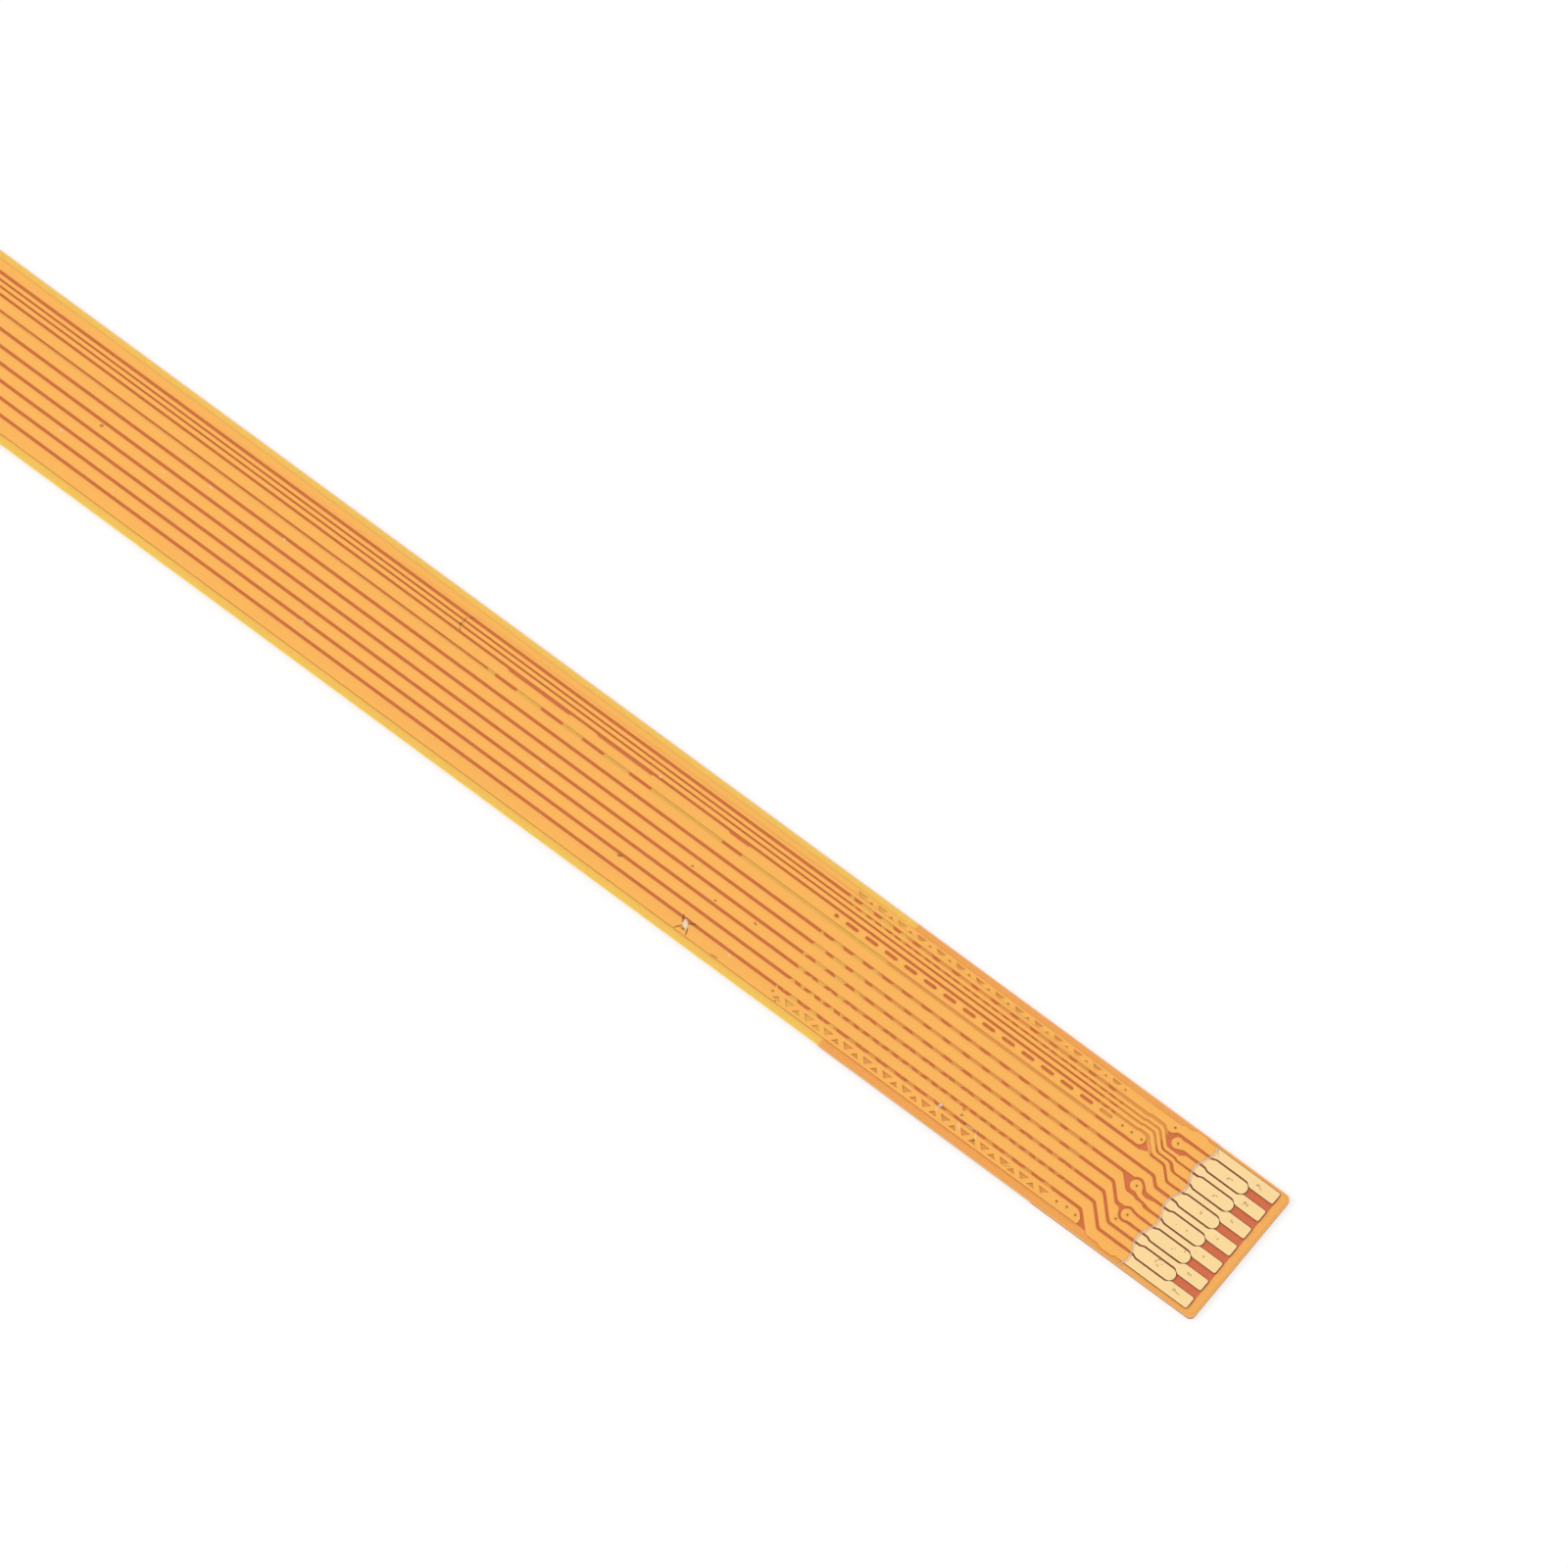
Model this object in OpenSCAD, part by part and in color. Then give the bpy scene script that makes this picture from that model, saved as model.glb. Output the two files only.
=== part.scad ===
// Flat flex cable: a two-layer flexible printed circuit with a staggered contact end.
// X runs along the cable towards the contact end, Y across it and Z up out of the contacts.
// The origin is the middle of the cable's outline, at the underside of the stiffener.
// Distances along the cable are measured back from the contact end.

/* [Cable] */
// Length from the contact end to the plain end
cable_len = 45; // [30:1:150]
// Radius of the two corners of the contact end
corner_r = 0.15; // [0.1:0.01:0.3]
// Bare film between the copper and either end of the cable
end_margin = 0.25; // [0.15:0.01:0.28]
// How far the copper of both layers lies off the middle of the film, towards the upper edge
copper_shift = 0.02; // [-0.02:0.005:0.03]
// Bare film beside the upper edge of the copper, before that shift
upper_margin = 0.21; // [0.18:0.01:0.23]
// Bare film beside either edge of the ground plane, before that shift
plane_margin = 0.21; // [0.15:0.01:0.3]

/* [Layers] */
// Thickness of the polyimide base film
base_t = 0.025; // [0.0125:0.0025:0.05]
// Thickness of each copper layer
copper_t = 0.018; // [0.012:0.001:0.035]
// Thickness of the nickel and gold on a contact
plating_t = 0.003; // [0.002:0.001:0.006]
// Thickness of each coverlay with its adhesive
coverlay_t = 0.0275; // [0.02:0.0025:0.05]
// Thickness of the support film
support_t = 0.025; // [0.0125:0.0025:0.05]
// Thickness of the contact stiffener
stiffener_t = 0.0425; // [0.025:0.0025:0.075]
// Thickness of each bonding sheet under the bottom coverlay
bond_t = 0.0125; // [0.01:0.0025:0.025]
// Clearance left at each laminated face
face_gap = 0.002; // [0.001:0.001:0.003]

/* [Stiffeners] */
// Length of the support film from the contact end
support_len = 12.15; // [8:0.05:20]
// Length of the contact stiffener from the contact end
stiffener_len = 5.25; // [3.5:0.05:7.5]

/* [Contacts] */
// Spacing of neighbouring contacts, which alternate between the two rows
pitch = 0.3; // [0.295:0.005:0.31]
// Width of a contact pad
finger_w = 0.33; // [0.28:0.01:0.34]
// Width of the neck that runs between two rear pads
neck_w = 0.13; // [0.1:0.01:0.15]
// Width of each conductor where it goes under the coverlay
root_w = 0.22; // [0.19:0.01:0.24]
// Distance from the contact end to the front pads
front_tip = 0.29; // [0.28:0.01:0.4]
// Distance from the contact end to the back of the front pads
front_back = 1.05; // [0.9:0.01:1.1]
// Distance from the contact end to the rear pads
rear_tip = 1.03; // [1:0.01:1.1]
// Distance from the contact end to the back of the rear pads
rear_back = 2.15; // [2:0.01:2.2]
// Width of the blunt tip of a rear pad
rear_tip_w = 0.14; // [0.1:0.01:0.2]
// Radius of the corners of a pad
pad_corner_r = 0.045; // [0.02:0.005:0.06]

/* [Top copper along the cable] */
// Width of the ground strip by the upper edge
upper_strip_w = 0.24; // [0.2:0.01:0.26]
// Width of the ground strip by the lower edge
lower_strip_w = 0.335; // [0.26:0.005:0.345]
// Width of a fine trace
fine_w = 0.085; // [0.07:0.005:0.09]
// Width of the slotted strip
slotted_w = 0.28; // [0.27:0.005:0.3]
// Width of a wide trace
wide_w = 0.28; // [0.27:0.005:0.285]
// Gap beside a wide trace or a ground strip
gap_w = 0.095; // [0.085:0.005:0.1]
// Gap beside a fine trace
fine_gap_w = 0.065; // [0.055:0.005:0.07]
// Inside radius of the bends of a trace
bend_r = 0.16; // [0.06:0.01:0.2]
// How far the slotted strip's upper edge steps in at its relieved stretches
relief_w = 0.035; // [0.02:0.005:0.05]

/* [Vias] */
// Radius of the round pad of a via stub
via_pad_r = 0.155; // [0.13:0.005:0.16]
// Radius of a via's drilled hole
via_drill_r = 0.05; // [0.04:0.005:0.055]
// Radius of the bore that the plating leaves
via_bore_r = 0.03; // [0.02:0.005:0.035]
// Clearance round a via stub
stub_gap = 0.08; // [0.06:0.005:0.085]

/* [Ground hatch] */
// Spacing of the hatch lines
hatch_pitch = 0.45; // [0.4:0.01:0.5]
// Width of a hatch line
hatch_line_w = 0.14; // [0.1:0.005:0.2]
// Distance from the contact end to the near end of the hatch
hatch_near = 4.87; // [4.8:0.01:5.2]
// Distance from the contact end to the far end of the hatch
hatch_far = 14; // [11:0.1:18]
// Height of the slots in the slotted strip
slot_h = 0.1; // [0.06:0.01:0.14]

/* [Coverlay] */
// Distance from the contact end to the middle of the top coverlay's wavy edge
coverlay_edge = 2.39; // [2.36:0.01:2.42]
// How far the wave swings either way
coverlay_wave = 0.09; // [0.04:0.01:0.1]

/* [Hidden] */
CONTACTS = 13;
FRONT = "front";
REAR = "rear";

cable_w = pitch * (CONTACTS + 1);
hatch_step = hatch_pitch * sqrt(2);
hatch_d0 = 5.8; // a crossing of the hatch lines, on the middle of the cable
neck_slope = 0.1; // length over which a contact narrows to its neck
root_d = coverlay_edge + 0.11; // where the fan-out hands over to the contacts
arc_steps = 3;
round_steps = 24;
wave_steps = 8 * (CONTACTS + 1);

// Heights of the layers, from the underside of the stiffener
stiffener_z = 0;
stiffener_bond_z = stiffener_z + stiffener_t + face_gap;
support_z = stiffener_bond_z + bond_t + face_gap;
support_bond_z = support_z + support_t + face_gap;
bottom_coverlay_z = support_bond_z + bond_t + face_gap;
plane_z = bottom_coverlay_z + coverlay_t + face_gap;
base_z = plane_z + copper_t + face_gap;
trace_z = base_z + base_t + face_gap;
trace_top_z = trace_z + copper_t;
top_coverlay_z = trace_top_z + face_gap;

// Levels of the gaps between the conductors along the cable, from the upper edge down
upper_edge_y = cable_w / 2 - upper_margin + copper_shift;
lane_widths = [
  upper_strip_w, fine_w, fine_w, fine_w, slotted_w,
  wide_w, wide_w, wide_w, wide_w, wide_w, wide_w, lower_strip_w
];
lane_gaps = [
  gap_w, fine_gap_w, fine_gap_w, gap_w, gap_w,
  gap_w, gap_w, gap_w, gap_w, gap_w, gap_w
];
function total(list, n) = n == 0 ? 0 : list[n - 1] + total(list, n - 1);
function lane_top(n) = upper_edge_y - total(lane_widths, n) - total(lane_gaps, n);
function lane_bottom(n) = lane_top(n) - lane_widths[n];
function lane_middle(n) = (lane_top(n) + lane_bottom(n)) / 2;
function gap_level(n) = lane_bottom(n) - lane_gaps[n] / 2;

// Levels at the contact end
function contact_y(n) = ((CONTACTS - 1) / 2 - n) * pitch + copper_shift;
function contact_gap_y(n) = contact_y(n) - pitch / 2;
function row_of(n) = n % 2 == 0 ? FRONT : REAR;

// Points and outlines
function at(d, y) = [cable_len / 2 - d, y];
function unit(v) = v / norm(v);
function left_of(a, b) = let (u = unit(b - a)) [-u[1], u[0]];
function cleaned(path) = [
  for (i = [0 : len(path) - 1]) if (i == 0 || norm(path[i] - path[i - 1]) > 0.001) path[i]
];
function reversed(path) = [for (i = [len(path) - 1 : -1 : 0]) path[i]];
function last(path) = path[len(path) - 1];

// A path moved sideways by s, to its left where s is positive, with mitred bends
function shifted(path, s) = [
  for (i = [0 : len(path) - 1])
    let (
      before = i > 0 ? left_of(path[i - 1], path[i]) : left_of(path[0], path[1]),
      after = i < len(path) - 1 ? left_of(path[i], path[i + 1]) : before,
      both = before + after
    )
    path[i] + both * (2 * s / (both * both))
];

// A corner at b between a and c, as an arc that takes up at most 45% of either side
function corner(a, b, c, r) =
  let (
    to_a = unit(a - b),
    to_c = unit(c - b),
    opening = acos(max(-1, min(1, to_a * to_c)))
  )
  opening > 174 ? [b] :
  let (
    run = min(r / tan(opening / 2), norm(a - b) * 0.45, norm(c - b) * 0.45),
    radius = run * tan(opening / 2),
    centre = b + unit(to_a + to_c) * radius / sin(opening / 2),
    arm = b + to_a * run - centre,
    turn = -sign(to_a[0] * to_c[1] - to_a[1] * to_c[0]) * (180 - opening)
  )
  [
    for (k = [0 : arc_steps])
      let (s = turn * k / arc_steps)
      centre + [arm[0] * cos(s) - arm[1] * sin(s), arm[0] * sin(s) + arm[1] * cos(s)]
  ];

// An outline with every corner rounded: by tip_r where it is square or sharper, else by r
function rounded(outline, r, tip_r) =
  let (n = len(outline))
  [
    for (i = [0 : n - 1])
      let (
        a = outline[(i + n - 1) % n],
        b = outline[i],
        c = outline[(i + 1) % n],
        square_or_less = unit(a - b) * unit(c - b) > -0.2
      )
      each corner(a, b, c, square_or_less ? tip_r : r)
  ];

// A route from the plain end to the contacts: level, then 45-degree steps to new levels.
// Each move is [where the step starts, the level it goes to].
function steps(level, moves, i = 0) =
  i == len(moves) ? [] :
  concat(
    [at(moves[i][0], level), at(moves[i][0] - abs(moves[i][1] - level), moves[i][1])],
    steps(moves[i][1], moves, i + 1)
  );
function route(level, moves) =
  cleaned(concat(
    [at(cable_len - end_margin, level)],
    steps(level, moves),
    [at(root_d, len(moves) == 0 ? level : last(moves)[1])]
  ));

// The fan-out: the line down the middle of each gap between two conductors.
// Where a gap widens, the conductors above and below it have a line each.
rise_d = 4.25; // where the fine traces and the nose of the slotted strip rise
rise = 0.028;
fine_down_d = 3.74; // where the first fine trace turns down
nest = 0.063; // how much sooner each fine trace inside the bend turns down
fine_flat_y = [1.268, 1.105, 0.952, 0.797]; // levels of the fine gaps after that bend
function fine_route(n, gap, spread_d) =
  route(gap_level(n), [
    [rise_d, gap_level(n) + rise],
    [fine_down_d + n * nest, fine_flat_y[n]],
    [spread_d, contact_gap_y(gap)]
  ]);

dip_y = 1.553; // the gap below the upper strip, where that strip reaches furthest down
lift_y = [0.807, 0.857]; // the gap above the first wide trace, where it rises to the fine traces
step_y = [-0.329, -0.365]; // the gap above the third wide trace, beside the second via stub
shelf_y = -0.76; // the gap between the third and the fourth wide trace, below that stub
shelf_d = 3.88;

under_strip = route(gap_level(0), [
  [rise_d, gap_level(0) + rise], [3.78, dip_y], [3.48, contact_gap_y(0)]
]);
over_fine_1 = fine_route(0, 1, 2.98);
under_fine_1 = fine_route(1, 2, 3);
under_fine_2 = fine_route(2, 3, 3);
over_fine_3 = fine_route(2, 3, 3.05);
under_fine_3 = fine_route(3, 4, 3.12);
over_wide_1 = route(gap_level(4), [
  [3.9, lift_y[0]], [3.79, lift_y[1]], [3.62, fine_flat_y[3]], [3.12, contact_gap_y(4)]
]);
under_wide_1 = route(gap_level(5), [[3.15, contact_gap_y(5)]]);
under_wide_2 = route(gap_level(6), [[3.19, contact_gap_y(6)]]);
over_wide_3 = route(gap_level(6), [[3.81, step_y[0]], [3.17, step_y[1]], [2.9, contact_gap_y(7)]]);
under_wide_3 = route(gap_level(7), [[shelf_d, shelf_y], [3.2, contact_gap_y(8)]]);
over_wide_4 = route(gap_level(7), [[shelf_d, shelf_y - 0.02], [3.34, contact_gap_y(9)]]);
under_wide_4 = route(gap_level(8), [[3.895, contact_gap_y(10)]]);
under_wide_5 = route(gap_level(9), [[3.92, contact_gap_y(11)]]);

// The outer edges of the copper, which swell where the edge contacts start
upper_y = contact_y(0) + finger_w / 2;
lower_y = contact_y(CONTACTS - 1) - finger_w / 2;
swell = 0.05;
upper_edge = route(upper_edge_y, [[3.4, upper_y - 0.025], [3.1, upper_y + swell], [2.66, upper_y]]);
lower_edge = route(lane_bottom(10), [[4.05, lower_y], [3.13, lower_y - swell], [2.66, lower_y]]);

// Via stubs: [contact, middle of the round pad, stations of the tail].
// A station is [distance, offset from the contact's middle, half width].
STUBS = [
  [1, [3.22, 1.467], [[3.14, -0.05, 0.14], [2.95, 0, 0.1], [2.7, -0.005, 0.11]]],
  [7, [3.35, -0.098], [
    [3.27, 0.17, 0.14], [3.19, 0.138, 0.13], [3.1, 0.022, 0.059], [2.95, 0, 0.053],
    [2.86, 0, 0.065], [2.7, 0, 0.108]
  ]],
  [9, [3.05, -0.87], [[2.98, 0.01, 0.14], [2.85, 0.008, 0.11], [2.7, 0, 0.11]]]
];

// Plated holes
STRIP_VIA_D = [4.63, 4.33, 4.01];
LOWER_VIA_D = [4.69, 4.39, 4.08];
LONE_VIAS = [[3.52, 1.76], [3.2, -1.14]];
via_off = 0.02; // how far a via sits off the middle of its strip or pad
VIAS = concat(
  [for (s = STUBS) s[1] - [via_off, 0]],
  LONE_VIAS,
  [for (d = STRIP_VIA_D) [d, lane_middle(4) + via_off]],
  [for (i = [0 : 2]) [LOWER_VIA_D[i], lane_middle(11) + (i == 1 ? 2 * via_off : 0)]]
);

// Where the slotted strip and the lower strip stop, and where the slotted strip is relieved
strip_stop = 3.91;
RELIEFS = [[16.87, 17.53], [20.05, 21.85], [22.75, 24.75]];

// The ground plane's split below the gap over the first wide trace, its bridges, and
// the stretch from which only the lower half of the split stays open
split_near = 5.35;
split_y = [0.7, 0.905];
split_narrow_y = 0.765;
split_narrow_d = 25.2;
BRIDGES = [[16.89, 17.53], [19.85, 20.57], [21.4, 22.1], [22.75, 23.45], [24.25, 24.95]];
// The clearing below the fine traces runs down with them to its near end
clearing = [[5, 1.1], [3.96, 1.1], [3.67, 0.81], [3.6, 0.81]];
// The stretch of plane under the fine traces that has no windows
solid_y = [0.93, 1.4];
solid_near = 5.5;
// Bands of the two edge strips in which the windows show
upper_band = [lane_bottom(0) + 0.1, lane_top(0) - 0.05];
lower_band = [lane_bottom(11) + 0.07, lane_top(11) - 0.1];
strip_windows_near = hatch_near + 0.1;

// ---- Outlines ----

// A film of the cable's width, from the contact end back by len
module film_outline(len) {
  x = cable_len / 2;
  translate([x - len, -cable_w / 2]) square([len - corner_r, cable_w]);
  translate([x - corner_r - 0.001, corner_r - cable_w / 2])
    square([corner_r + 0.001, cable_w - 2 * corner_r]);
  for (side = [-1, 1])
    translate([x - corner_r, side * (cable_w / 2 - corner_r)])
      circle(r = corner_r, $fn = round_steps);
}

// The wavy edge of the top coverlay, from the lower to the upper edge of the cable
function wave(s) = [
  for (i = [0 : wave_steps])
    let (y = cable_w * (i / wave_steps - 0.5))
    at(coverlay_edge + s + coverlay_wave * cos(360 * (y - copper_shift) / (4 * pitch)), y)
];

module layer(z, t) {
  translate([0, 0, z]) linear_extrude(t) children();
}

// The holes for every via, as wide as drilled
module via_holes() {
  for (v = VIAS) translate(at(v[0], v[1])) circle(r = via_drill_r, $fn = round_steps);
}

// Half of a contact's outline: [distance, half width] from the coverlay to the tip
function finger_half(n) =
  row_of(n) == FRONT
  ? [
      [rear_back + neck_slope, root_w / 2], [rear_back, neck_w / 2],
      [front_back + neck_slope, neck_w / 2], [front_back, finger_w / 2],
      [front_tip, finger_w / 2]
    ]
  : [
      [rear_back + neck_slope, root_w / 2], [rear_back, finger_w / 2],
      [rear_tip + (finger_w - rear_tip_w) / 2, finger_w / 2], [rear_tip, rear_tip_w / 2]
    ];

// The two sides of a contact. The outer side of each edge contact runs straight.
function finger_side(n, side, grow = 0) =
  (n == 0 && side == 1) || (n == CONTACTS - 1 && side == -1)
  ? [for (d = [root_d, front_tip - grow]) at(d, contact_y(n) + side * (finger_w / 2 + grow))]
  : [
      for (p = concat([[root_d, root_w / 2]], finger_half(n)))
        at(p[0] - (p == last(finger_half(n)) ? grow : 0), contact_y(n) + side * (p[1] + grow))
    ];
function finger_outline(n, grow = 0) =
  rounded(
    concat(finger_side(n, -1, grow), reversed(finger_side(n, 1, grow))),
    bend_r, pad_corner_r
  );

// A conductor from its two sides and the contact at its end. Outlines run anticlockwise.
function conductor_outline(above, below, n) =
  rounded(
    cleaned(concat(
      below, finger_side(n, -1), reversed(finger_side(n, 1)), reversed(above)
    )),
    bend_r, pad_corner_r
  );

// One side of a via stub's tail, from its round pad to the fan-out's end
function tail_side(stub, side, grow = 0) = [
  for (s = stub[2]) at(s[0], contact_y(stub[0]) + s[1] + side * (s[2] + grow))
];
module stub_pad(stub, grow = 0) {
  translate(at(stub[1][0], stub[1][1])) circle(r = via_pad_r + grow, $fn = 2 * round_steps);
}

// The square windows of the 45-degree hatch, kept to the band between two levels
module hatch_windows(low_y, high_y, near = hatch_near, far = hatch_far) {
  window = hatch_pitch - hatch_line_w;
  columns = ceil((hatch_far - hatch_d0) / hatch_step) + 1;
  rows = ceil(cable_w / hatch_step);
  intersection() {
    for (j = [-rows : rows], i = [-2 : columns])
      if (abs(j * hatch_step - low_y - high_y) < high_y - low_y + hatch_step)
        translate(at(
          hatch_d0 + hatch_step * (i + (j % 2 == 0 ? 0.5 : 0)), j * hatch_step / 2 + copper_shift
        ))
          rotate(45) square(window, center = true);
    translate(at(far, low_y)) square([far - near, high_y - low_y]);
  }
}

// ---- Films and stiffeners ----

module stiffener() {
  color("peru") layer(stiffener_z, stiffener_t) film_outline(stiffener_len);
}

module stiffener_bond() {
  color("wheat") layer(stiffener_bond_z, bond_t) film_outline(stiffener_len);
}

module support_film() {
  color("darkgoldenrod") layer(support_z, support_t) film_outline(support_len);
}

module support_bond() {
  color("wheat") layer(support_bond_z, bond_t) film_outline(support_len);
}

module bottom_coverlay() {
  color("gold") layer(bottom_coverlay_z, coverlay_t) film_outline(cable_len);
}

module base_film() {
  color("orange") layer(base_z, base_t) difference() {
    film_outline(cable_len);
    via_holes();
  }
}

// The coverlay stops short of the contacts in a wave of one swing for every two contacts
module top_coverlay() {
  half = cable_w / 2;
  color("orange", 0.6) layer(top_coverlay_z, coverlay_t)
    polygon(concat([at(cable_len, half), at(cable_len, -half)], wave(0)));
}

// ---- Bottom copper ----

module ground_plane() {
  half = cable_w / 2 - plane_margin;
  far = cable_len - end_margin;
  starts = concat([split_near], [for (b = BRIDGES) b[1]]);
  stops = concat([for (b = BRIDGES) b[0]], [split_narrow_d]);
  color("chocolate") layer(plane_z, copper_t) difference() {
    translate(at(far, copper_shift - half)) square([far - end_margin, 2 * half]);
    hatch_windows(lower_band[0], split_y[0]);
    hatch_windows(solid_y[1], upper_band[1]);
    hatch_windows(split_y[1], solid_y[1], hatch_near, solid_near);
    for (i = [0 : len(starts) - 1])
      translate(at(stops[i], split_y[0])) square([stops[i] - starts[i], split_y[1] - split_y[0]]);
    translate(at(far + 1, split_y[0]))
      square([far + 1 - split_narrow_d, split_narrow_y - split_y[0]]);
    polygon([
      for (c = clearing) at(c[0], c[1]),
      at(last(clearing)[0], cable_w), at(clearing[0][0], cable_w)
    ]);
    via_holes();
  }
}

// ---- Top copper ----

module trace(outline) {
  layer(trace_z, copper_t) difference() {
    polygon(outline);
    via_holes();
    children();
  }
}

// The room that a via stub takes from the conductors beside it
module stub_clearance(i) {
  stub = STUBS[i];
  reach = root_w / 2 + stub_gap;
  stub_pad(stub, stub_gap);
  polygon(rounded(
    concat(
      tail_side(stub, -1, stub_gap), [at(root_d, contact_y(stub[0]) - reach)],
      [at(root_d, contact_y(stub[0]) + reach)], reversed(tail_side(stub, 1, stub_gap))
    ),
    bend_r, pad_corner_r
  ));
}

module upper_ground_strip() {
  color("orange")
    trace(conductor_outline(upper_edge, shifted(under_strip, gap_w / 2), 0)) {
      stub_clearance(0);
      hatch_windows(upper_band[0], upper_band[1], strip_windows_near);
    }
}

module fine_trace(n, above, below) {
  color("orange")
    trace(conductor_outline(
      shifted(above, (n == 0 ? -gap_w : -fine_gap_w) / 2), shifted(below, fine_gap_w / 2), n + 2
    ))
      stub_clearance(0);
}

// The slotted strip ends in a rounded nose between the last fine and the first wide trace
module slotted_strip() {
  nose_r = 0.13;
  slot_y = hatch_step * 1.5 + copper_shift;
  y0 = lane_top(4);
  color("orange") trace(rounded(
    [
      at(cable_len - end_margin, lane_bottom(4)), at(strip_stop, lane_bottom(4)),
      at(strip_stop, y0 + rise), at(rise_d - rise, y0 + rise), at(rise_d, y0),
      at(cable_len - end_margin, y0)
    ],
    bend_r, nose_r
  )) {
    hatch_windows(slot_y - slot_h / 2, slot_y + slot_h / 2);
    for (r = RELIEFS)
      translate(at(r[1], y0 - relief_w)) square([r[1] - r[0], 2 * relief_w]);
  }
}

module wide_trace(above, below, n) {
  color("orange")
    trace(conductor_outline(shifted(above, -gap_w / 2), shifted(below, gap_w / 2), n)) {
      stub_clearance(1);
      stub_clearance(2);
    }
}

module lowest_wide_trace() {
  color("orange") trace(conductor_outline(
    shifted(under_wide_5, -gap_w / 2), lower_edge, CONTACTS - 1
  ));
}

// The lower strip ends in a slanted nose under the lowest wide trace
module lower_ground_strip() {
  nose_d = 4.09;
  y0 = lane_top(11);
  y1 = lane_bottom(11);
  color("orange") trace(rounded(
    [
      at(cable_len - end_margin, y1), at(strip_stop, y1),
      at(strip_stop, y0 - (nose_d - strip_stop)), at(nose_d, y0),
      at(cable_len - end_margin, y0)
    ],
    bend_r, pad_corner_r
  ))
    hatch_windows(lower_band[0], lower_band[1], strip_windows_near);
}

module via_stub(i) {
  stub = STUBS[i];
  color("orange") layer(trace_z, copper_t) difference() {
    union() {
      stub_pad(stub);
      polygon(conductor_outline(tail_side(stub, 1), tail_side(stub, -1), stub[0]));
    }
    via_holes();
  }
}

// ---- Plating ----

module plated_vias() {
  color("sienna") for (v = VIAS)
    translate(concat(at(v[0], v[1]), [plane_z])) difference() {
      cylinder(r = via_drill_r - face_gap, h = trace_top_z - plane_z, $fn = round_steps);
      translate([0, 0, -1])
        cylinder(r = via_bore_r, h = trace_top_z - plane_z + 2, $fn = round_steps);
    }
}

// A shell of nickel and gold over the top and sides of a contact, up to the coverlay's wave
module gold_contact(n) {
  skin = plating_t + face_gap;
  color("khaki") difference() {
    layer(trace_z, copper_t + skin) intersection() {
      polygon(finger_outline(n, skin));
      polygon(concat(wave(-face_gap), [at(0, cable_w / 2), at(0, -cable_w / 2)]));
    }
    layer(trace_z - 1, copper_t + 1 + face_gap) polygon(finger_outline(n, face_gap));
  }
}

stiffener();
stiffener_bond();
support_film();
support_bond();
bottom_coverlay();
ground_plane();
base_film();
plated_vias();
upper_ground_strip();
fine_trace(0, over_fine_1, under_fine_1);  // fine_trace_1
fine_trace(1, under_fine_1, under_fine_2);  // fine_trace_2
fine_trace(2, over_fine_3, under_fine_3);  // fine_trace_3
slotted_strip();
wide_trace(over_wide_1, under_wide_1, 5);  // wide_trace_1
wide_trace(under_wide_1, under_wide_2, 6);  // wide_trace_2
wide_trace(over_wide_3, under_wide_3, 8);  // wide_trace_3
wide_trace(over_wide_4, under_wide_4, 10);  // wide_trace_4
wide_trace(under_wide_4, under_wide_5, 11);  // wide_trace_5
lowest_wide_trace();  // wide_trace_6
lower_ground_strip();
via_stub(0);  // via_stub_1
via_stub(1);  // via_stub_2
via_stub(2);  // via_stub_3
gold_contact(0);  // gold_contact_1
gold_contact(1);  // gold_contact_2
gold_contact(2);  // gold_contact_3
gold_contact(3);  // gold_contact_4
gold_contact(4);  // gold_contact_5
gold_contact(5);  // gold_contact_6
gold_contact(6);  // gold_contact_7
gold_contact(7);  // gold_contact_8
gold_contact(8);  // gold_contact_9
gold_contact(9);  // gold_contact_10
gold_contact(10);  // gold_contact_11
gold_contact(11);  // gold_contact_12
gold_contact(12);  // gold_contact_13
top_coverlay();
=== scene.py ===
import math
import random

import bmesh
import bpy
from bpy.props import FloatProperty, FloatVectorProperty, PointerProperty
from bpy.types import Operator, Panel, PropertyGroup
from mathutils import Matrix, Vector


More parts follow.
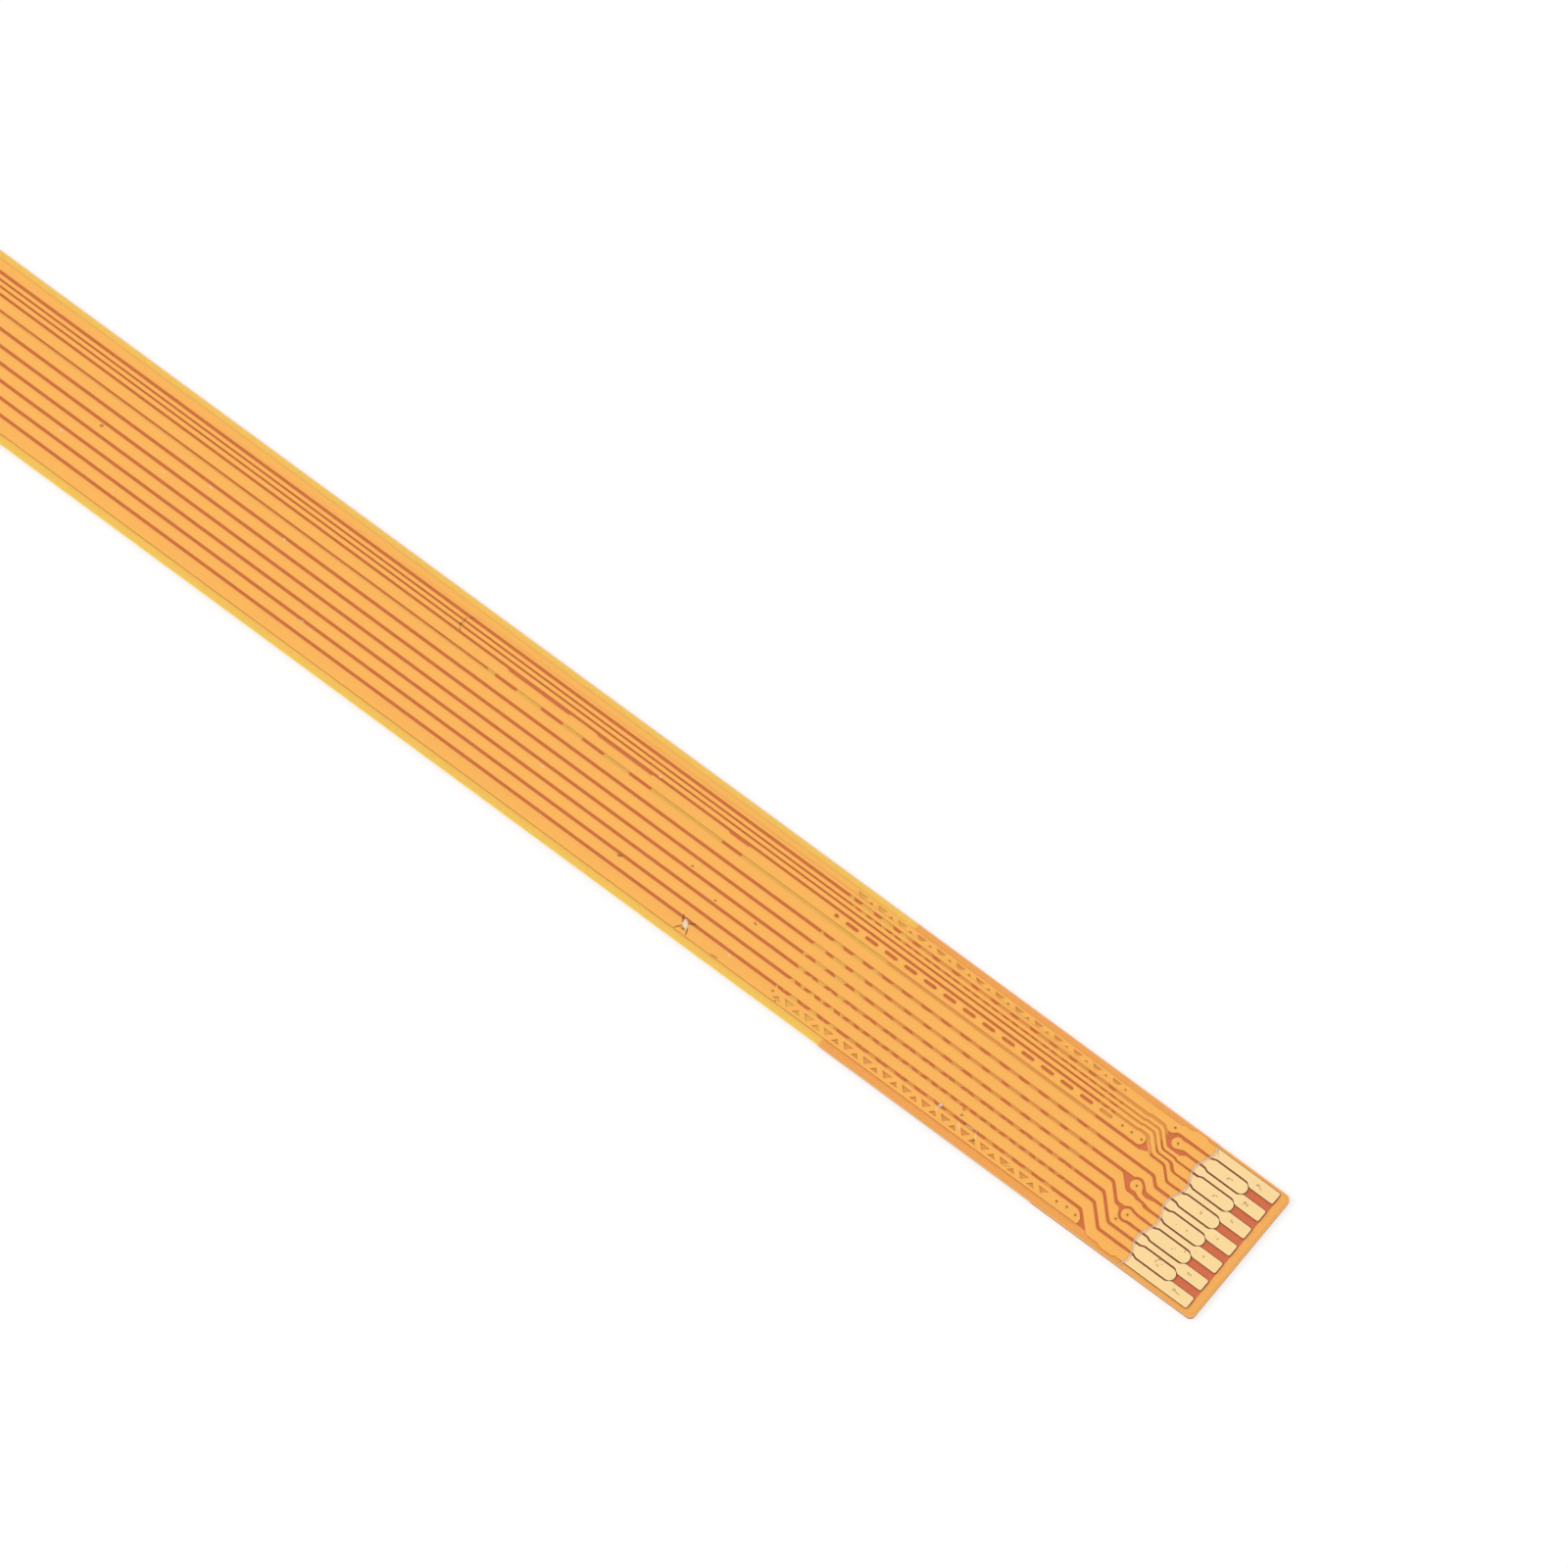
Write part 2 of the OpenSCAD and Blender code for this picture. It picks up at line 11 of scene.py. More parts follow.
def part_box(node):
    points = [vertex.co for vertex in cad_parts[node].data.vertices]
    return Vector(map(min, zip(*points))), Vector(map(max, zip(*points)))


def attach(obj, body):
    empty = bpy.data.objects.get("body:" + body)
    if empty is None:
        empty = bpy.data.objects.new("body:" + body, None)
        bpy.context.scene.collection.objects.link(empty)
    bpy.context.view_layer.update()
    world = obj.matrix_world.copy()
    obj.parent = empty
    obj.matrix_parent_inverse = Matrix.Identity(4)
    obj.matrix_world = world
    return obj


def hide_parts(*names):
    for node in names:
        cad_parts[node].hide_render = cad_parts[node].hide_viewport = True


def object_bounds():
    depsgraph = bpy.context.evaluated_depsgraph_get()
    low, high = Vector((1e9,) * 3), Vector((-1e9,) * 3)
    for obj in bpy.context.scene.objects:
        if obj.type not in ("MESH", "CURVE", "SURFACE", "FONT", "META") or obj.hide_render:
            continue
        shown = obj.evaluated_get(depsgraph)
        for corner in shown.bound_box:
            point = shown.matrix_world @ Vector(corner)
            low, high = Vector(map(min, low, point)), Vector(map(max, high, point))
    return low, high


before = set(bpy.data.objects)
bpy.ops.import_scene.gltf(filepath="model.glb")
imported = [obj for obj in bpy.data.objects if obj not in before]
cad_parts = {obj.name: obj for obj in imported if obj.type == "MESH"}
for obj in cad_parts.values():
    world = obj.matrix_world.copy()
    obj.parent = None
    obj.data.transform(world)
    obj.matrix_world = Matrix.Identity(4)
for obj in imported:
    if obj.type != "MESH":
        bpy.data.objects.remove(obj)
CAD_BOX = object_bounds()

bl_info = {
    "name": "Flat flex cable",
    "version": (1, 0, 0),
    "blender": (4, 5, 0),
    "location": "View3D > Sidebar > Flex",
    "description": "Dresses a flat flex cable with its films, copper, gold and marks of use",
    "category": "Object",
}

MM = 0.001
BONDS = ("support_bond", "stiffener_bond")
TOP_COPPER = (
    "upper_ground_strip", "fine_trace_1", "fine_trace_2", "fine_trace_3", "slotted_strip",
    "wide_trace_1", "wide_trace_2", "wide_trace_3", "wide_trace_4", "wide_trace_5",
    "wide_trace_6", "lower_ground_strip", "via_stub_1", "via_stub_2", "via_stub_3",
)
CONTACTS = tuple(f"gold_contact_{n}" for n in range(1, 14))

JOIN = 1e-7  # corners of a CAD mesh closer than this are one corner
VIA_FILL_R = 0.028 * MM
PROFILE_STEPS = 112  # steps of the bead along the wavy edge
WAVE_D, WAVE_SWING, WAVE_SHIFT, WAVE_LENGTH = 2.39, 0.09, 0.02, 1.2  # in mm

# The contact end, from which distances along the cable are measured
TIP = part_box("base_film")[1].x


def linear(r, g, b):
    """A colour given in display codes, as the linear values that a shader takes."""
    return tuple(
        c / 12.92 if c <= 0.04045 else ((c + 0.055) / 1.055) ** 2.4
        for c in (r / 255, g / 255, b / 255)
    )


def place(distance, level, height):
    """A point at a distance from the contact end and a level across the cable, in mm."""
    return Vector((TIP - distance * MM, level * MM, height))


# ---- Settings ----


class FilmSettings(PropertyGroup):
    amber: FloatVectorProperty(
        name="Amber", description="Colour of a single clear film", subtype="COLOR",
        size=3, min=0, max=1, default=(0.95, 0.24, 0.01),
    )
    density: FloatProperty(
        name="Density", description="How much a single film hides of what lies below it",
        subtype="FACTOR", min=0, max=1, default=0.22,
    )
    # The run colour is partly the film's own yellow and partly painted light: the glow that would
    # come back through the films from the white floor, painted on the opaque bottom coverlay.
    run_colour: FloatVectorProperty(
        name="Run", description="Bottom coverlay where nothing lies below it",
        subtype="COLOR", size=3, min=0, max=1, default=linear(255, 232, 104),
    )
    backed_colour: FloatVectorProperty(
        name="Backed", description="Bottom coverlay above the support film",
        subtype="COLOR", size=3, min=0, max=1, default=linear(250, 186, 92),
    )
    underside_colour: FloatVectorProperty(
        name="Underside", description="Bottom coverlay seen from below",
        subtype="COLOR", size=3, min=0, max=1, default=linear(236, 158, 62),
    )
    stiffener_colour: FloatVectorProperty(
        name="Stiffener", description="Support film and contact stiffener",
        subtype="COLOR", size=3, min=0, max=1, default=(0.5, 0.19, 0.03),
    )


class CopperSettings(PropertyGroup):
    trace_colour: FloatVectorProperty(
        name="Traces", description="Top copper", subtype="COLOR",
        size=3, min=0, max=1, default=linear(255, 193, 92),
    )
    plane_colour: FloatVectorProperty(
        name="Ground plane", description="Bottom copper", subtype="COLOR",
        size=3, min=0, max=1, default=linear(206, 96, 66),
    )
    # Painted shading: the rim tone stands in for the light on the sloped rim, a little darker than
    # the face.
    rim_shading_colour: FloatVectorProperty(
        name="Rims", description="Etched rims of the top copper", subtype="COLOR",
        size=3, min=0, max=1, default=linear(255, 188, 84),
    )
    # Painted shade: the dark foot tone stands in for the shade in the narrow gaps between the
    # traces.
    foot_shade_colour: FloatVectorProperty(
        name="Feet", description="Spread feet of the etched walls", subtype="COLOR",
        size=3, min=0, max=1, default=linear(226, 148, 74),
    )
    etching: FloatVectorProperty(
        name="Etching", description="Width and drop of the rim, and spread of the foot",
        unit="LENGTH", size=3, default=(0.01 * MM, 0.003 * MM, 0.008 * MM),
    )
    # Painted shade: the dark hole tone stands in for the shade in the plated holes, on their bores
    # and their plugs.
    hole_shade_colour: FloatVectorProperty(
        name="Holes", description="Plated holes", subtype="COLOR",
        size=3, min=0, max=1, default=linear(120, 62, 30),
    )


class ContactSettings(PropertyGroup):
    gold_colour: FloatVectorProperty(
        name="Gold", description="Plating of the contacts", subtype="COLOR",
        size=3, min=0, max=1, default=linear(255, 220, 156),
    )
    # Painted highlight: the pale rim tone stands in for the light caught by the rounded rim.
    rim_shading_colour: FloatVectorProperty(
        name="Rims", description="Rounded rims of the plating", subtype="COLOR",
        size=3, min=0, max=1, default=linear(255, 238, 186),
    )
    # Painted shade: the dark foot tone stands in for the shade in the narrow gaps between the
    # contacts.
    foot_shade_colour: FloatVectorProperty(
        name="Feet", description="Painted shade on the feet of the plated walls", subtype="COLOR",
        size=3, min=0, max=1, default=linear(150, 88, 40),
    )
    etching: FloatVectorProperty(
        name="Etching", description="Width and drop of the rim, and spread of the foot",
        unit="LENGTH", size=3, default=(0.022 * MM, 0.0015 * MM, 0.02 * MM),
    )


class WearSettings(PropertyGroup):
    bead_colour: FloatVectorProperty(
        name="Bead", description="Adhesive squeezed out at the coverlay's edge",
        subtype="COLOR", size=3, min=0, max=1, default=linear(238, 200, 180),
    )
    scuff_colour: FloatVectorProperty(
        name="Scuffs", description="Probe marks in the gold", subtype="COLOR",
        size=3, min=0, max=1, default=linear(150, 128, 104),
    )
    # Dirt, and the painted shade in the creases of a puncture in the film.
    dirt_and_crease_shade_colour: FloatVectorProperty(
        name="Dirt and crease shade", description="Dark specks and scratches on the film, and painted shade in a puncture's creases", subtype="COLOR",
        size=3, min=0, max=1, default=linear(140, 84, 48),
    )
    # Dust, and the painted highlight on the bump of a puncture in the film.
    dust_and_highlight_colour: FloatVectorProperty(
        name="Dust and highlight", description="Pale specks on the film, and a painted highlight on a puncture's bump", subtype="COLOR",
        size=3, min=0, max=1, default=linear(252, 236, 214),
    )


class StageSettings(PropertyGroup):
    azimuth: FloatProperty(
        name="Azimuth", description="Direction that the camera looks in, from +Y",
        subtype="ANGLE", default=math.radians(38.04),
    )
    elevation: FloatProperty(
        name="Elevation", description="Height of the camera above the horizon",
        subtype="ANGLE", default=math.radians(69.7),
    )
    distance: FloatProperty(
        name="Distance", description="From the camera to the middle of its view",
        unit="LENGTH", default=1.6,
    )
    view_width: FloatProperty(
        name="View width", description="Width that the camera sees at that distance",
        unit="LENGTH", default=0.04034,
    )
    aim: FloatVectorProperty(
        name="Aim", description="Middle of the camera's view", subtype="XYZ",
        size=3, default=(0.005267, 0.00298, 0.0002),
    )
    sky: FloatProperty(
        name="Sky", description="Strength of the plain light from all round", default=0.78,
    )
    lamp: FloatProperty(
        name="Lamp", description="Power of the soft lamp", unit="POWER", default=0.75,
    )


# ---- Shader helpers ----


def add(tree, kind, values=(), **settings):
    """A node of that kind with its settings and input values."""
    node = tree.nodes.new(kind)
    for key, value in settings.items():
        setattr(node, key, value)
    for socket, value in dict(values).items():
        target = node.inputs[socket]
        if isinstance(value, bpy.types.NodeSocket):
            tree.links.new(value, target)
        else:
            target.default_value = value
    return node


def math_node(tree, operation, a, b):
    return add(tree, "ShaderNodeMath", {0: a, 1: b}, operation=operation).outputs[0]


def blend_colour(tree, factor, a, b):
    """Colour a where the factor is 0 and colour b where it is 1."""
    return add(tree, "ShaderNodeMix", {0: factor, 6: a, 7: b}, data_type="RGBA").outputs[2]


def ramp(tree, value, low, high):
    """0 up to the low value, 1 from the high value."""
    return add(
        tree, "ShaderNodeMapRange", {0: value, 1: low, 2: high, 3: 0.0, 4: 1.0},
        interpolation_type="SMOOTHSTEP",
    ).outputs[0]


def facing_up(tree, geometry):
    """1 on faces that point up or sideways, 0 on those that point down."""
    z = add(tree, "ShaderNodeSeparateXYZ", {0: geometry["Normal"]}).outputs[2]
    return ramp(tree, z, -0.6, -0.4)


def object_point(tree):
    return add(tree, "ShaderNodeTexCoord").outputs["Object"]


def rgba(colour):
    return (*colour[:3], 1.0)


def new_group(name, inputs, outputs):
    group = bpy.data.node_groups.new(name, "ShaderNodeTree")
    for label, kind, default in inputs:
        socket = group.interface.new_socket(label, in_out="INPUT", socket_type=kind)
        socket.default_value = default
    for label, kind in outputs:
        group.interface.new_socket(label, in_out="OUTPUT", socket_type=kind)
    return group, add(group, "NodeGroupInput").outputs, add(group, "NodeGroupOutput").inputs


def link(tree, source, target):
    tree.links.new(source, target)


def mottle_group():
    """Slow clouding of a surface's colour, and a fine grain for its bump."""
    if "mottle" in bpy.data.node_groups:
        return bpy.data.node_groups["mottle"]
    group, given, out = new_group(
        "mottle",
        [
            ("Color", "NodeSocketColor", (1, 1, 1, 1)), ("Size", "NodeSocketFloat", 1.0),
            ("Depth", "NodeSocketFloat", 0.1), ("Grain", "NodeSocketFloat", 0.1),
        ],
        [("Color", "NodeSocketColor"), ("Height", "NodeSocketFloat")],
    )
    point = object_point(group)
    scale = math_node(group, "DIVIDE", 1 / MM, given["Size"])
    cloud = add(group, "ShaderNodeTexNoise", {"Vector": point, "Scale": scale, "Detail": 2.0})
    grain = add(group, "ShaderNodeTexNoise", {
        "Vector": point, "Scale": math_node(group, "MULTIPLY", scale, 14.0), "Detail": 3.0,
    })
    centred = math_node(group, "SUBTRACT", cloud.outputs["Fac"], 0.5)
    slow = math_node(group, "MULTIPLY", centred, given["Depth"])
    fine = math_node(
        group, "MULTIPLY", math_node(group, "SUBTRACT", grain.outputs["Fac"], 0.5), given["Grain"]
    )
    level = math_node(group, "ADD", math_node(group, "ADD", slow, fine), 1.0)
    shaded = add(
        group, "ShaderNodeVectorMath", {0: given["Color"], "Scale": level}, operation="SCALE"
    )
    link(group, shaded.outputs[0], out["Color"])
    link(group, grain.outputs["Fac"], out["Height"])
    return group


def use_group(tree, group, values):
    return add(tree, "ShaderNodeGroup", values, node_tree=group).outputs


def bumped(tree, height, distance, strength=0.3):
    return add(
        tree, "ShaderNodeBump", {"Strength": strength, "Distance": distance, "Height": height}
    ).outputs[0]


def new_material(name):
    material = bpy.data.materials.new(name)
    material.use_nodes = True
    material.node_tree.nodes.clear()
    return material, material.node_tree


def finish_material(tree, shader):
    output = add(tree, "ShaderNodeOutputMaterial")
    tree.links.new(shader, output.inputs["Surface"])


def dress(node, material):
    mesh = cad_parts[node].data
    mesh.materials.clear()
    mesh.materials.append(material)


# ---- Mesh helpers ----


def new_piece(name, shape, material, smooth=True):
    """Makes an object of the bmesh and lets it ride on the cable."""
    bmesh.ops.recalc_face_normals(shape, faces=shape.faces)
    mesh = bpy.data.meshes.new(name)
    shape.to_mesh(mesh)
    shape.free()
    mesh.polygons.foreach_set("use_smooth", [smooth] * len(mesh.polygons))
    mesh.materials.append(material)
    piece = bpy.data.objects.new(name, mesh)
    bpy.context.scene.collection.objects.link(piece)
    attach(piece, "root")
    return piece


def merged_copy(node):
    """A bmesh of a CAD node, with its loose triangles joined."""
    shape = bmesh.new()
    shape.from_mesh(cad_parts[node].data)
    bmesh.ops.remove_doubles(shape, verts=shape.verts, dist=JOIN)
    return shape


def foot_below(vert):
    """The lowest corner straight below a corner of the upper outline."""
    while True:
        lower = [
            o for o in (e.other_vert(vert) for e in vert.link_edges)
            if o.co.z < vert.co.z - JOIN and (o.co - vert.co).xy.length < JOIN
        ]
        if not lower:
            return vert
        vert = lower[0]


def outward(vert):
    """How far a corner of the outline moves for each unit that its walls move out."""
    walls = []
    for face in vert.link_faces:
        normal = face.normal
        if abs(normal.z) < 0.1 and all(normal.dot(w) < 0.999 for w in walls):
            walls.append(normal.copy())
    if not walls:
        return Vector((0, 0, 0))
    first, last = walls[0], walls[-1]
    return (first + last) / max(1 + first.dot(last), 0.6)


def etched_copy(node, rim, drop, foot):
    """A bmesh of a CAD node with etched walls.

    The upper edges slope down over a rim, and the walls spread towards the foot. The rim
    attribute is 0 on the face, 1 at its edge and 2 at the foot."""
    shape = merged_copy(node)
    layer = shape.verts.layers.float.new("rim")
    top = max(v.co.z for v in shape.verts)
    faces = [f for f in shape.faces if min(v.co.z for v in f.verts) > top - JOIN]
    upper = set(faces)
    outline = {
        v for f in upper for e in f.edges if any(g not in upper for g in e.link_faces)
        for v in e.verts
    }
    moves = [(v, outward(v) * foot) for v in {foot_below(v) for v in outline} - outline]
    ring = bmesh.ops.inset_region(
        shape, faces=faces, thickness=rim, depth=0, use_even_offset=False,
    )["faces"]
    outline = {v for f in ring for v in f.verts if not any(g in upper for g in v.link_faces)}
    for vert in outline:
        vert[layer] = 1.0
        vert.co.z -= drop
    for vert, move in moves:
        vert[layer] = 2.0
        vert.co += move
    return shape


def fleck(shape, rng, distance, level, length, width, turn, height, z):
    """Adds a flat uneven crumb on a face of the cable, with its sizes in mm and its turn in
    degrees; only the height z of the face is in metres."""
    made = bmesh.ops.create_icosphere(shape, subdivisions=2, radius=0.5 * MM)["verts"]
    for vert in made:
        vert.co *= 1 + rng.uniform(-0.28, 0.28)
    bmesh.ops.scale(shape, verts=made, vec=(length, width, 2 * height))
    turned = Matrix.Rotation(math.radians(turn), 3, "Z")
    bmesh.ops.rotate(shape, verts=made, cent=(0, 0, 0), matrix=turned)
    bmesh.ops.translate(shape, verts=made, vec=place(distance, level, z))


# ---- Materials ----


def film_material(name, colour, density):
    """A film that lets what lies below it show through, seen from outside only."""
    material, tree = new_material(name)
    cloud = use_group(tree, mottle_group(), {
        "Color": rgba(colour), "Size": 2.5, "Depth": 0.06, "Grain": 0.05,
    })
    geometry = add(tree, "ShaderNodeNewGeometry").outputs
    film = add(tree, "ShaderNodeBsdfPrincipled", {
        "Base Color": cloud["Color"], "Roughness": 0.28, "IOR": 1.6,
        "Normal": bumped(tree, cloud["Height"], 0.002 * MM),
    })
    share = math_node(tree, "MULTIPLY", facing_up(tree, geometry), density)
    outside = math_node(tree, "SUBTRACT", 1.0, geometry["Backfacing"])
    factor = math_node(tree, "MULTIPLY", outside, share)
    clear = add(tree, "ShaderNodeBsdfTransparent")
    mixed = add(tree, "ShaderNodeMixShader", {0: factor, 1: clear.outputs[0], 2: film.outputs[0]})
    finish_material(tree, mixed.outputs[0])
    return material


def bottom_coverlay_material(films, name="bottom_coverlay_film", underside=0.78):
    """Yellow along the run, partly painted light that comes back through the films from the white
    floor, and orange where the support film lies below.
    """
    material, tree = new_material(name)
    x = add(tree, "ShaderNodeSeparateXYZ", {0: object_point(tree)}).outputs[0]
    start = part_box("support_film")[0].x
    backed = ramp(tree, x, start - 0.02 * MM, start + 0.02 * MM)
    colour = blend_colour(tree, backed, rgba(films.run_colour), rgba(films.backed_colour))
    geometry = add(tree, "ShaderNodeNewGeometry").outputs
    up = facing_up(tree, geometry)
    colour = blend_colour(tree, up, rgba(films.underside_colour), colour)
    cloud = use_group(tree, mottle_group(), {
        "Color": colour, "Size": 3.0, "Depth": 0.05, "Grain": 0.04,
    })
    film = add(tree, "ShaderNodeBsdfPrincipled", {
        "Base Color": cloud["Color"], "Roughness": 0.3,
        "Normal": bumped(tree, cloud["Height"], 0.002 * MM),
    })
    share = add(tree, "ShaderNodeMix", {0: up, 2: underside, 3: 1.0}).outputs[0]
    outside = math_node(tree, "SUBTRACT", 1.0, geometry["Backfacing"])
    factor = math_node(tree, "MULTIPLY", outside, share)
    clear = add(tree, "ShaderNodeBsdfTransparent")
    mixed = add(tree, "ShaderNodeMixShader", {0: factor, 1: clear.outputs[0], 2: film.outputs[0]})
    finish_material(tree, mixed.outputs[0])
    return material


def solid_material(name, colour, roughness, metallic=0.0, size=1.0, depth=0.08, grain=0.08):
    material, tree = new_material(name)
    cloud = use_group(tree, mottle_group(), {
        "Color": rgba(colour), "Size": size, "Depth": depth, "Grain": grain,
    })
    body = add(tree, "ShaderNodeBsdfPrincipled", {
        "Base Color": cloud["Color"], "Roughness": roughness, "Metallic": metallic,
        "Normal": bumped(tree, cloud["Height"], 0.002 * MM),
    })
    finish_material(tree, body.outputs[0])
    return material


def via_material(ring, bore_shade):
    """Copper on the faces that point up or down, and painted shade darkening the bore."""
    material, tree = new_material("via_copper_and_bore_shade")
    normal = add(tree, "ShaderNodeNewGeometry").outputs["Normal"]
    z = math_node(tree, "ABSOLUTE", add(tree, "ShaderNodeSeparateXYZ", {0: normal}).outputs[2], 0.0)
    colour = blend_colour(tree, ramp(tree, z, 0.4, 0.6), rgba(bore_shade), rgba(ring))
    cloud = use_group(tree, mottle_group(), {
        "Color": colour, "Size": 0.5, "Depth": 0.05, "Grain": 0.05,
    })
    body = add(tree, "ShaderNodeBsdfPrincipled", {
        "Base Color": cloud["Color"], "Roughness": 0.45, "Metallic": 0.3,
        "Normal": bumped(tree, cloud["Height"], 0.001 * MM),
    })
    finish_material(tree, body.outputs[0])
    return material


def etched_material(name, tones, roughness, metallic, size, depth, grain):
    """A metal with one tone on its face, painted light and shade on its rim, and a dark painted
    shade towards its foot, where the gaps between parts lie in shade.
    """
    colour, rim_shading_colour, foot_shade_colour = tones
    material, tree = new_material(name)
    rim = add(tree, "ShaderNodeAttribute", attribute_name="rim").outputs["Fac"]
    toned = blend_colour(tree, ramp(tree, rim, 0.15, 0.9), rgba(colour), rgba(rim_shading_colour))
    toned = blend_colour(tree, ramp(tree, rim, 1.05, 1.3), toned, rgba(foot_shade_colour))
    cloud = use_group(tree, mottle_group(), {
        "Color": toned, "Size": size, "Depth": depth, "Grain": grain,
    })
    body = add(tree, "ShaderNodeBsdfPrincipled", {
        "Base Color": cloud["Color"], "Roughness": roughness, "Metallic": metallic,
        "Normal": bumped(tree, cloud["Height"], 0.002 * MM),
    })
    finish_material(tree, body.outputs[0])
    return material


# ---- Operators ----


class FLEX_OT_films(Operator):
    """Dress the films, the bonding sheets and the stiffener"""

    bl_idname = "flex.films"
    bl_label = "Films"

    def execute(self, context):
        films = context.scene.flex_films
        dress("top_coverlay", film_material("top_coverlay_film", films.amber, films.density))
        dress("base_film", film_material("base_polyimide", films.amber, films.density))
        dress("bottom_coverlay", bottom_coverlay_material(films))
        dress("support_film", solid_material("support_polyimide", films.stiffener_colour, 0.35))
        dress("stiffener", solid_material("stiffener_polyimide", films.stiffener_colour, 0.35))
        fill_windows(bottom_coverlay_material(films, "window_adhesive", 0.0))
        bond = solid_material("bonding_sheet", linear(214, 160, 80), 0.6)
        for node in BONDS:
            dress(node, bond)
        return {"FINISHED"}


def fill_windows(material):
    """The adhesive of the bottom coverlay, which fills the windows of the ground plane, in the run
    colour with its painted light from the floor below.
    """
    low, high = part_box("bottom_coverlay")
    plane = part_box("ground_plane")
    shape = bmesh.new()
    made = bmesh.ops.create_cube(shape, size=1)["verts"]
    side, gap = 0.1 * MM, 0.004 * MM
    size = Vector((high.x - low.x - side, high.y - low.y - side, plane[1].z - high.z - gap))
    bmesh.ops.scale(shape, verts=made, vec=size)
    middle = Vector(((low.x + high.x) / 2, (low.y + high.y) / 2, (plane[1].z + high.z) / 2))
    bmesh.ops.translate(shape, verts=made, vec=middle)
    corners = [e for e in shape.edges if abs((e.verts[0].co - e.verts[1].co).z) > 0.001 * MM]
    bmesh.ops.bevel(
        shape, geom=corners, offset=0.2 * MM, segments=4, profile=0.5, affect="EDGES", material=-1
    )
    new_piece("window_adhesive", shape, material, False)


class FLEX_OT_copper(Operator):
    """Dress both copper layers and the plated holes"""

    bl_idname = "flex.copper"
    bl_label = "Copper"

    def execute(self, context):
        copper = context.scene.flex_copper
        top = etched_material(
            # The rims and feet of the traces carry painted light and shade.
            "trace_copper", (copper.trace_colour, copper.rim_shading_colour, copper.foot_shade_colour),
            0.4, 0.2, 1.5, 0.05, 0.05,
        )
        for node in TOP_COPPER:
            shape = etched_copy(node, *copper.etching)
            piece = new_piece(f"etched_{node}", shape, top, False)
            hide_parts(node)
            dress(node, top)
        dress("ground_plane", solid_material("plane_copper", copper.plane_colour, 0.45, 0.1, 1.2))
        # The via bores and the plugs in them are painted dark with the shade of the holes.
        dress("plated_vias", via_material(copper.trace_colour, copper.hole_shade_colour))
        fill_vias(solid_material("via_plug_shade", copper.hole_shade_colour, 0.5, size=0.3))
        return {"FINISHED"}


def via_centres():
    """Centres of the plated holes, found from their node."""
    shape = merged_copy("plated_vias")
    seen, centres = set(), []
    for first in shape.verts:
        if first in seen:
            continue
        seen.add(first)
        island, todo = [], [first]
        while todo:
            vert = todo.pop()
            island.append(vert.co.copy())
            for edge in vert.link_edges:
                other = edge.other_vert(vert)
                if other not in seen:
                    seen.add(other)
                    todo.append(other)
        low = Vector([min(c[i] for c in island) for i in range(3)])
        high = Vector([max(c[i] for c in island) for i in range(3)])
        centres.append((low + high) / 2)
    shape.free()
    return centres


def fill_vias(material):
    """Adhesive that has run into every plated hole, darkened with the painted shade of the holes.
    """
    shape = bmesh.new()
    low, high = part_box("ground_plane")[0].z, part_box("wide_trace_1")[1].z
    radius = VIA_FILL_R
    for centre in via_centres():
        made = bmesh.ops.create_cone(
            shape, cap_ends=True, segments=16, radius1=radius, radius2=radius, depth=high - low
        )["verts"]
        bmesh.ops.translate(shape, verts=made, vec=(centre.x, centre.y, (low + high) / 2))
    caps = [f for f in shape.faces if len(f.verts) == 16 and f.normal.z > 0.9]
    bmesh.ops.inset_region(shape, faces=caps, thickness=radius / 3, depth=-radius / 4)
    new_piece("shaded_via_plugs", shape, material, False)


class FLEX_OT_contacts(Operator):
    """Dress the gold contacts"""

    bl_idname = "flex.contacts"
    bl_label = "Contacts"

    def execute(self, context):
        contacts = context.scene.flex_contacts
        gold = etched_material(
            # The rims carry a painted highlight and the feet a painted shade.
            "contact_gold", (contacts.gold_colour, contacts.rim_shading_colour, contacts.foot_shade_colour),
            0.34, 0.35, 0.6, 0.07, 0.06,
        )
        for node in CONTACTS:
            shape = etched_copy(node, *contacts.etching)
            piece = new_piece(f"plated_{node}", shape, gold, False)
            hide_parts(node)
            dress(node, gold)
        return {"FINISHED"}


